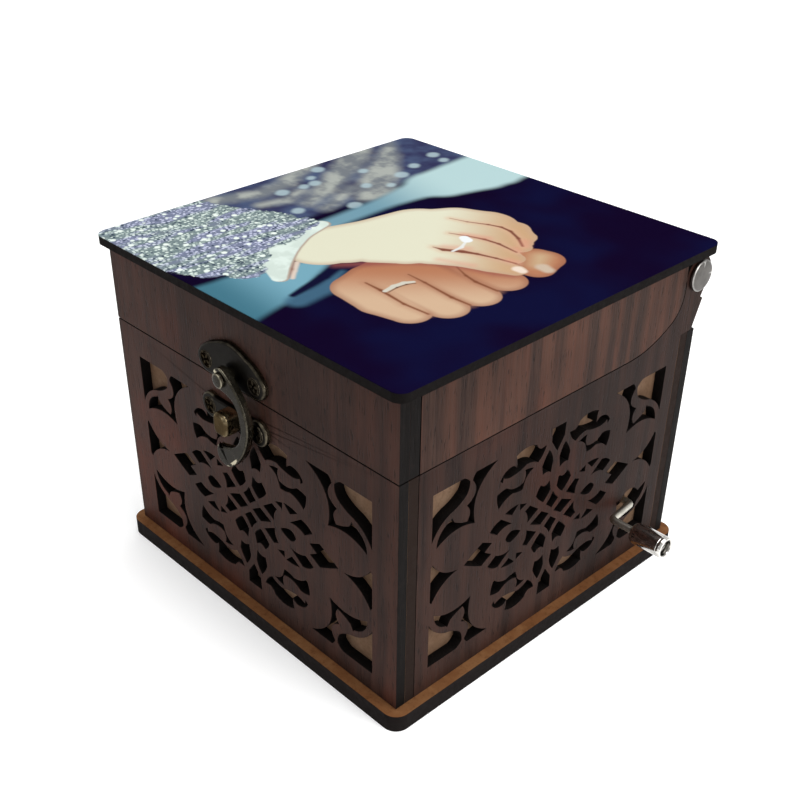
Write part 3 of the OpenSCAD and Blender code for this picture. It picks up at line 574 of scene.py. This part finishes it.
# ---- Mesh building ----


def smooth_by_angle(mesh, degrees=35):
    """Smooth shading with sharp edges kept where two faces meet at more than the angle."""
    work = bmesh.new()
    work.from_mesh(mesh)
    for face in work.faces:
        face.smooth = True
    for edge in work.edges:
        edge.smooth = (len(edge.link_faces) == 2
                       and edge.calc_face_angle() < math.radians(degrees))
    work.to_mesh(mesh)
    work.free()


def piece(name, work, material, body, stands_for):
    """Turns a bmesh in the model's frame into a piece that rides on a body."""
    bmesh.ops.recalc_face_normals(work, faces=work.faces)
    mesh = bpy.data.meshes.new(name)
    work.to_mesh(mesh)
    work.free()
    smooth_by_angle(mesh)
    mesh.materials.append(material)
    obj = bpy.data.objects.new(name, mesh)
    bpy.context.scene.collection.objects.link(obj)
    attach(obj, body)
    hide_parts(*stands_for)


def bridge(work, lower, upper):
    """Faces between two loops of as many points."""
    count = len(lower)
    for i in range(count):
        j = (i + 1) % count
        work.faces.new((lower[i], lower[j], upper[j], upper[i]))


def close_up(work, rings):
    """Faces along a row of rings, and one over each end."""
    for lower, upper in zip(rings, rings[1:]):
        bridge(work, lower, upper)
    work.faces.new(rings[0][::-1])
    work.faces.new(rings[-1])


def circle(work, place, radius, height, segments):
    """Points of a circle about place's Z axis, in mm."""
    angles = [2 * math.pi * i / segments for i in range(segments)]
    return [work.verts.new(place @ (Vector((
        radius * math.cos(a), radius * math.sin(a), height)) * MM)) for a in angles]


def plot(work, place, line, height):
    """Points of a flat outline at a height over place's XY plane, in mm."""
    return [work.verts.new(place @ (Vector((x, y, height)) * MM)) for x, y in line]


def lathe(work, profile, place, segments=64):
    """Turns a closed profile of (radius, height) points, in mm, about place's Z axis."""
    close_up(work, [circle(work, place, radius, height, segments)
                    for radius, height in profile])


def bowed_outline(points):
    """Closed outline from (x, z, bow) points: bow swells the edge to the next point."""
    line = []
    for (x0, z0, bow), (x1, z1, _) in zip(points, points[1:] + points[:1]):
        run, rise = x1 - x0, z1 - z0
        length = math.hypot(run, rise)
        steps = 1 if bow == 0 else 12
        for i in range(steps):
            s = i / steps
            out = bow * 4 * s * (1 - s) / length
            line.append((x0 + run * s + rise * out, z0 + rise * s - run * out))
    return line


def raised_outline(work, line, place, height, shoulder, steps=4):
    """A flat piece of that outline with a rounded shoulder; its plane is XY of place."""
    low = plot(work, place, line, 0)
    high = plot(work, place, line, height - shoulder)
    work.faces.new(low[::-1])
    bridge(work, low, high)
    top = work.faces.new(high)
    top.normal_update()
    for k in range(steps):
        a0, a1 = math.pi / 2 * k / steps, math.pi / 2 * (k + 1) / steps
        bmesh.ops.inset_region(
            work, faces=[top], thickness=shoulder * (math.cos(a0) - math.cos(a1)) * MM,
            depth=shoulder * (math.sin(a1) - math.sin(a0)) * MM, use_even_offset=True)
    # Flat rings inside a wide shoulder keep its bright edges, real wear and painted highlight, off
    # the face.
    if shoulder > 0.2:
        for _ in range(3):
            bmesh.ops.inset_region(work, faces=[top], thickness=0.12 * MM,
                                   use_even_offset=True)


def cross_head(work, place, radius, proud, turn):
    """A domed screw head in a narrow ring, with a cross-shaped recess."""
    segments, depth, draft = 48, 0.55, 0.6
    lathe(work, [(radius + 0.45, 0), (radius + 0.42, 0.1), (radius + 0.3, 0.14),
                 (radius + 0.18, 0.1), (radius + 0.14, 0.02), (radius + 0.02, 0.02)],
          place, segments)
    rings = [circle(work, place, r, h, segments)
             for r, h in [(radius, 0.02), (radius, proud * 0.6), (radius - 0.12, proud * 0.9),
                          (radius - 0.35, proud)]]
    for lower, upper in zip(rings, rings[1:]):
        bridge(work, lower, upper)
    arm, half = radius * 0.62, radius * 0.15
    corners = [(half, half), (half, arm), (-half, arm), (-half, half), (-arm, half),
               (-arm, -half), (-half, -half), (-half, -arm), (half, -arm), (half, -half),
               (arm, -half), (arm, half)]
    turned = place @ Matrix.Rotation(turn, 4, "Z")
    mouth = plot(work, turned, corners, proud)
    bed = plot(work, turned, [(draft * x, draft * y) for x, y in corners], proud - depth)
    edges = []
    for loop in (rings[-1], mouth):
        for vert, following in zip(loop, loop[1:] + loop[:1]):
            edges.append(work.edges.get((vert, following))
                         or work.edges.new((vert, following)))
    bmesh.ops.triangle_fill(work, edges=edges, use_beauty=True)
    bridge(work, mouth, bed)
    work.faces.new(bed[::-1])


def rod(work, path, radii, segments=32):
    """A round rod swept along a path of points in metres, with a radius in mm at each."""
    side = None
    rings = []
    for i, spot in enumerate(path):
        ahead = (path[min(i + 1, len(path) - 1)] - path[max(i - 1, 0)]).normalized()
        side = ahead.orthogonal() if side is None else side - ahead * side.dot(ahead)
        side.normalize()
        up = ahead.cross(side)
        angles = [2 * math.pi * k / segments for k in range(segments)]
        rings.append([work.verts.new(spot + (side * math.cos(a) + up * math.sin(a))
                                     * radii[i] * MM) for a in angles])
    close_up(work, rings)


def corner(before, at, after, radius, steps=10):
    """Points of a rounded corner of a path."""
    back, ahead = (before - at).normalized(), (after - at).normalized()
    half = back.angle(ahead) / 2
    reach = radius / math.tan(half)
    centre = at + (back + ahead).normalized() * radius / math.sin(half)
    start, end = at + back * reach - centre, at + ahead * reach - centre
    sweep = start.angle(end)
    axis = start.cross(end).normalized()
    return [centre + Matrix.Rotation(sweep * i / steps, 3, axis) @ start
            for i in range(steps + 1)]


# ---- Latch ----

front_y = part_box("front_fret_panel")[0][1]
screw_low, screw_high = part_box("latch_upper_screws")
latch_x = (screw_low[0] + screw_high[0]) / 2
upper_z = middle("latch_upper_screws").z
lower_z = middle("latch_lower_screws").z
rivet_z = middle("latch_rivet").z
plate_t = (front_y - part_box("latch_upper_plate")[0][1]) / MM

# Millimetres: from screw to screw, the plates' round lobes, and half the lower plate's bar.
SCREW_PITCH = 19
UPPER_LOBE = 3.8
LOWER_LOBE = 3.6
BAR_HALF = 2.9
# Power of the stud's cushion outline: 2 is an ellipse, and more is squarer.
CUSHION = 3.2


def on_latch_side(z, out, across=0.0):
    """Frame of a piece on the latch side: X across, Y up, Z out of the wall."""
    return (Matrix.Translation((latch_x + across * MM, front_y - out * MM, z))
            @ Matrix.Rotation(math.radians(90), 4, "X"))


def round_lobe(angle_from, angle_to, cx, r, steps=16):
    """Points of an arc about (cx, 0), in mm, between two angles in degrees."""
    angles = [math.radians(angle_from + (angle_to - angle_from) * i / steps)
              for i in range(steps + 1)]
    return [(cx + r * math.cos(a), r * math.sin(a)) for a in angles]


def latch_upper_plate():
    """Domed plate with two round lobes and an arched top."""
    line = (round_lobe(165, 270, -SCREW_PITCH / 2, UPPER_LOBE)
            + round_lobe(-90, 15, SCREW_PITCH / 2, UPPER_LOBE))
    line += bowed_outline([(12.6, 2, 0.5), (6.2, 6.1, 0.3), (0, 7.8, 0.3), (-6.2, 6.1, 0.5),
                           (-12.6, 2, 0)])[:-1]
    work = bmesh.new()
    raised_outline(work, line, on_latch_side(upper_z, 0), plate_t, 0.7)
    piece("latch_upper_plate_domed", work, dark_bronze, "lid",
          ["latch_upper_plate"])


def latch_lower_plate():
    """Plate with two round lobes and a straight bar between them."""
    waist = math.degrees(math.asin(BAR_HALF / LOWER_LOBE))
    line = (round_lobe(waist, 360 - waist, -SCREW_PITCH / 2, LOWER_LOBE)
            + round_lobe(180 + waist, 540 - waist, SCREW_PITCH / 2, LOWER_LOBE))
    work = bmesh.new()
    raised_outline(work, line, on_latch_side(lower_z, 0), plate_t, 0.6)
    piece("latch_lower_plate_domed", work, dark_bronze, "box",
          ["latch_lower_plate"])


def latch_screws(name, z, body, node, turns):
    """The two cross-head screws of a plate, each with its shank in the board."""
    work = bmesh.new()
    for side, turn in zip((-1, 1), turns):
        place = on_latch_side(z, plate_t, side * SCREW_PITCH / 2)
        cross_head(work, place, 1.9, 0.25, math.radians(turn))
        lathe(work, [(1.0, -6), (1.0, -0.05)], place, 24)
    piece(name, work, screw_bronze, body, [node])


def latch_rivet():
    """Shouldered rivet with a domed head in front of the hook."""
    foot, face = plate_t, (front_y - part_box("latch_rivet")[0][1]) / MM
    hook_front = (front_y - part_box("latch_hook")[0][1]) / MM
    work = bmesh.new()
    lathe(work, [(2.2, foot), (2.2, foot + 0.8), (2.1, foot + 0.9), (0.8, foot + 0.95),
                 (0.8, hook_front + 0.1), (1.9, hook_front + 0.1), (2.0, hook_front + 0.25),
                 (1.95, face - 0.25), (1.75, face - 0.08), (1.3, face)],
          on_latch_side(rivet_z, 0), 48)
    piece("latch_rivet_turned", work, hook_bronze, "lid", ["latch_rivet"])


def latch_hook():
    """Curved hook with rounded edges, its eye round the rivet."""
    line = bowed_outline([(-2.4, -24.5, 0.7), (2.4, -24, 1), (9.3, -13.4, 0.6), (8.9, -6, 1.2),
                          (0, 3.1, 0.9), (-3.1, 0, 0.9), (0, -3, -0.3), (4.6, -4.4, -0.5),
                          (6.6, -9.1, -0.6), (6, -14.4, -0.6), (2.2, -18.4, -0.2),
                          (-3.3, -20, 0.8)])
    low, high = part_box("latch_hook")
    work = bmesh.new()
    raised_outline(work, line, on_latch_side(rivet_z, (front_y - high[1]) / MM),
                   (high[1] - low[1]) / MM, 0.5)
    piece("latch_hook_rounded", work, hook_bronze, "hook", ["latch_hook"])


def latch_stud():
    """Chunky cast stud with a cushioned face."""
    low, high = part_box("latch_stud")
    half_x, half_z = (high[0] - low[0]) / 2 / MM, (high[2] - low[2]) / 2 / MM
    line = []
    for i in range(48):
        a = 2 * math.pi * i / 48
        c, s = math.cos(a), math.sin(a)
        reach = (abs(c) ** CUSHION + abs(s) ** CUSHION) ** (-1 / CUSHION)
        line.append((half_x * reach * c, half_z * reach * s))
    work = bmesh.new()
    place = on_latch_side(lower_z, (front_y - high[1]) / MM)
    raised_outline(work, line, place, (high[1] - low[1]) / MM, 1.1, 6)
    piece("latch_stud_cast", work, stud_brass, "box", ["latch_stud"])


latch_upper_plate()
latch_lower_plate()
latch_screws("latch_upper_cross_screws", upper_z, "lid", "latch_upper_screws", (20, -32))
latch_screws("latch_lower_cross_screws", lower_z, "box", "latch_lower_screws", (8, 55))
latch_rivet()
latch_hook()
latch_stud()

# ---- Crank and hinge pins ----

shaft_axis = Vector(next(j for j in frame["record"]["behaviour"]["joints"]
                         if j["name"] == "crank_turn")["pos_m"])
knob_low, knob_high = (Vector(v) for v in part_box("crank_knob"))
knob_mid = (knob_low + knob_high) / 2
crank_low, crank_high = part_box("crank")
wall_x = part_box("right_fret_panel")[1][0]
facing_right = Matrix.Rotation(math.radians(90), 4, "Y")


def crank_rod():
    """Bent rod: shaft, slanting arm and the thinner pin inside the knob."""
    thick, thin, bend_radius = 1.0, 0.7, 1.7 * MM
    start = Vector((crank_low[0], shaft_axis.y, shaft_axis.z))
    bend = Vector((wall_x + 1 * MM, shaft_axis.y, shaft_axis.z))
    elbow = Vector((wall_x + 4 * MM, knob_mid.y, knob_mid.z))
    neck = Vector((knob_low.x - 0.6 * MM, knob_mid.y, knob_mid.z))
    tip = Vector((crank_high[0], knob_mid.y, knob_mid.z))
    path = [start] + corner(start, bend, elbow, bend_radius)
    path += corner(bend, elbow, neck, bend_radius)
    radii = [thick] * len(path)
    path += [neck, neck + Vector((0.3 * MM, 0, 0)), tip]
    radii += [thick, thin, thin]
    work = bmesh.new()
    rod(work, path, radii)
    piece("crank_bent_rod", work, crank_nickel, "crank_set", ["crank"])


def crank_knob():
    """Turned knob with a rounded shoulder and a hollow outer end."""
    length = (knob_high.x - knob_low.x) / MM
    r = (knob_high.z - knob_low.z) / 2 / MM
    place = Matrix.Translation((knob_low.x, knob_mid.y, knob_mid.z)) @ facing_right
    bore = 0.78
    profile = [(bore, 0), (r - 1.5, 0), (r - 0.95, 0.12), (r - 0.5, 0.42), (r - 0.15, 0.9),
               (r, 1.5), (r, length - 1.6), (r - 0.1, length - 1.5), (r - 0.1, length - 1.3),
               (r, length - 1.2), (r, length - 0.35), (r - 0.1, length - 0.1),
               (r - 0.3, length), (r - 0.55, length - 0.05), (r - 0.75, length - 0.3),
               (r - 0.8, length - 2.4), (bore, length - 2.5)]
    work = bmesh.new()
    lathe(work, profile, place, 96)
    piece("crank_knob_turned", work, polished_nickel, "knob",
          ["crank_knob"])


def knob_screw():
    """Small slotted screw that keeps the knob on its pin."""
    low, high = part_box("knob_screw")
    work = bmesh.new()
    place = Matrix.Translation((low[0], knob_mid.y, knob_mid.z)) @ facing_right
    lathe(work, [(1.7, 0), (1.7, 0.6), (1.55, 0.95), (1.2, 1.1)], place, 40)
    height = (high[0] - low[0]) / MM
    for side in (-1, 1):
        half = [(0.25 * side, -1.1), (0.25 * side, 1.1), (0.9 * side, 0.8), (0.9 * side, -0.8)]
        raised_outline(work, half[::-side], place, height, 0.05, 1)
    piece("knob_slotted_screw", work, satin_nickel, "crank_set",
          ["knob_screw"])


def hinge_pin(side):
    """Flat-headed pin: a thin disc with a soft edge on a straight shank."""
    node = "hinge_pin_" + side
    low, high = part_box(node)
    spot = middle(node)
    base, turn = ((low[0], facing_right) if side == "right"
                  else (high[0], Matrix.Rotation(math.radians(-90), 4, "Y")))
    length = (high[0] - low[0]) / MM
    r = (high[2] - low[2]) / 2 / MM
    work = bmesh.new()
    lathe(work, [(1.2, 0), (1.5, 0.3), (1.5, length - 1.0), (r - 0.2, length - 1.0),
                 (r - 0.03, length - 0.85), (r, length - 0.6), (r - 0.05, length - 0.3),
                 (r - 0.25, length - 0.1), (r - 0.6, length - 0.03), (r * 0.45, length)],
          Matrix.Translation((base, spot.y, spot.z)) @ turn, 72)
    piece("hinge_pin_head_" + side, work, satin_nickel, "lid", [node])


crank_rod()
crank_knob()
knob_screw()
hinge_pin("right")
hinge_pin("left")

# ---- Finishes and softened edges of the carried-over pieces ----

FINISH = {
    front_veneer: ["front_fret_panel", "back_fret_panel", "lid_front_outer", "lid_front_inner",
                   "lid_back_outer", "lid_back_inner"],
    side_veneer: ["left_fret_panel", "right_fret_panel"],
    lid_side_veneer: ["lid_left_outer", "lid_right_outer", "lid_left_inner",
                      "lid_right_inner"],
    tan_front: ["front_inner_panel", "back_inner_panel"],
    tan_side: ["left_inner_panel", "right_inner_panel"],
    base_board: ["base_plate"],
    floor_board: ["storage_floor", "floor_ledges"],
    burnt_edge: ["lid_plate"],
    lid_picture: ["lid_print"],
    ground_steel: ["comb", "comb_screws", "movement_screws", "drum_arbor", "worm"],
    zinc_casting: ["bedplate", "comb_block", "front_bracket", "rear_bracket", "crank_brackets"],
    turned_brass: ["drum", "drum_gear", "arbor_bushes", "crank_bushes"],
}


def soften(obj, width=0.00012):
    """Joins the split corners of a carried-over piece and breaks its sharp edges."""
    weld = obj.modifiers.new("join corners", "WELD")
    weld.merge_threshold = 0.000002
    edge = obj.modifiers.new("broken edges", "BEVEL")
    edge.width = width
    edge.segments = 2
    edge.limit_method = "ANGLE"
    edge.angle_limit = math.radians(40)


for material, names in FINISH.items():
    for name in names:
        obj = nodes[name]
        obj.data.materials.clear()
        obj.data.materials.append(material)
        if name != "lid_print":
            soften(obj)

# ---- Floor, light and camera ----

# Camera: degrees round from the latch side, up and tilted; its place in metres.
TURN, LIFT, TILT = 47.78, 33.49, -0.37
CAMERA_SPOT = (0.2008, -0.1975, 0.2136)


def floor(near=-3, far=1.5, curve=0.8, top=4):
    """A wide pale floor that curves up behind into a plain wall."""
    work = bmesh.new()
    rows = [(near, 0), (far, 0)]
    rows += [(far + curve * math.sin(a), curve - curve * math.cos(a))
             for a in (math.pi / 2 * i / 12 for i in range(1, 13))]
    rows.append((far + curve, top))
    turn = Matrix.Rotation(math.radians(47.8), 4, "Z")
    lines = [[work.verts.new(turn @ Vector((x, y, z))) for x in (-4, 4)] for y, z in rows]
    for lower, upper in zip(lines, lines[1:]):
        work.faces.new((lower[0], lower[1], upper[1], upper[0]))
    mesh = bpy.data.meshes.new("floor")
    work.to_mesh(mesh)
    work.free()
    material, t, surface = new_material("pale floor", specular_ior_level=0.1,
                                       emission_color=(1, 1, 1, 1), emission_strength=0.25)
    tone = t.noise(t.coords()["Object"], 3, 2)
    link(t, surface, base_color=t.mix(tone, (0.86, 0.86, 0.86, 1), (0.88, 0.88, 0.88, 1)),
         roughness=t.step(tone, 0.3, 0.7, 0.7, 0.8))
    mesh.materials.append(material)
    smooth_by_angle(mesh)
    obj = bpy.data.objects.new("floor", mesh)
    bpy.context.scene.collection.objects.link(obj)


def soft_light(name, spot, size, power, aim=(0, 0, 0.05)):
    light = bpy.data.lights.new(name, "AREA")
    light.shape = "DISK"
    light.size = size
    light.energy = power
    obj = bpy.data.objects.new(name, light)
    obj.location = spot
    obj.rotation_euler = (Vector(aim) - Vector(spot)).to_track_quat("-Z", "Y").to_euler()
    bpy.context.scene.collection.objects.link(obj)


def camera():
    """Long lens from the near corner, above the lid."""
    turn, lift, roll = math.radians(TURN), math.radians(LIFT), math.radians(TILT)
    back = Vector((math.sin(turn) * math.cos(lift), -math.cos(turn) * math.cos(lift),
                   math.sin(lift)))
    right = Vector((math.cos(turn), math.sin(turn), 0))
    up = back.cross(right)
    across = right * math.cos(roll) + up * math.sin(roll)
    upright = up * math.cos(roll) - right * math.sin(roll)
    lens = bpy.data.cameras.new("camera")
    lens.lens = 52.34
    lens.sensor_width = 36
    lens.shift_x = 0.0476
    lens.shift_y = 0.0745
    lens.clip_start = 0.01
    lens.clip_end = 20
    obj = bpy.data.objects.new("camera", lens)
    axes = Matrix((across, upright, back)).transposed().to_4x4()
    obj.matrix_world = Matrix.Translation(CAMERA_SPOT) @ axes
    bpy.context.scene.collection.objects.link(obj)
    bpy.context.scene.camera = obj


floor()
soft_light("overhead", (0.1, 0.1, 0.9), 0.7, 6)
soft_light("right_side", (0.75, 0.1, 0.35), 0.5, 4)
soft_light("latch_side", (-0.35, -0.75, 0.4), 0.5, 1)
camera()

world = bpy.data.worlds.new("studio")
world.use_nodes = True
backdrop = world.node_tree.nodes["Background"]
backdrop.inputs["Color"].default_value = (1, 1, 1, 1)
backdrop.inputs["Strength"].default_value = 0.58
bpy.context.scene.world = world
bpy.context.scene.view_settings.view_transform = "Standard"
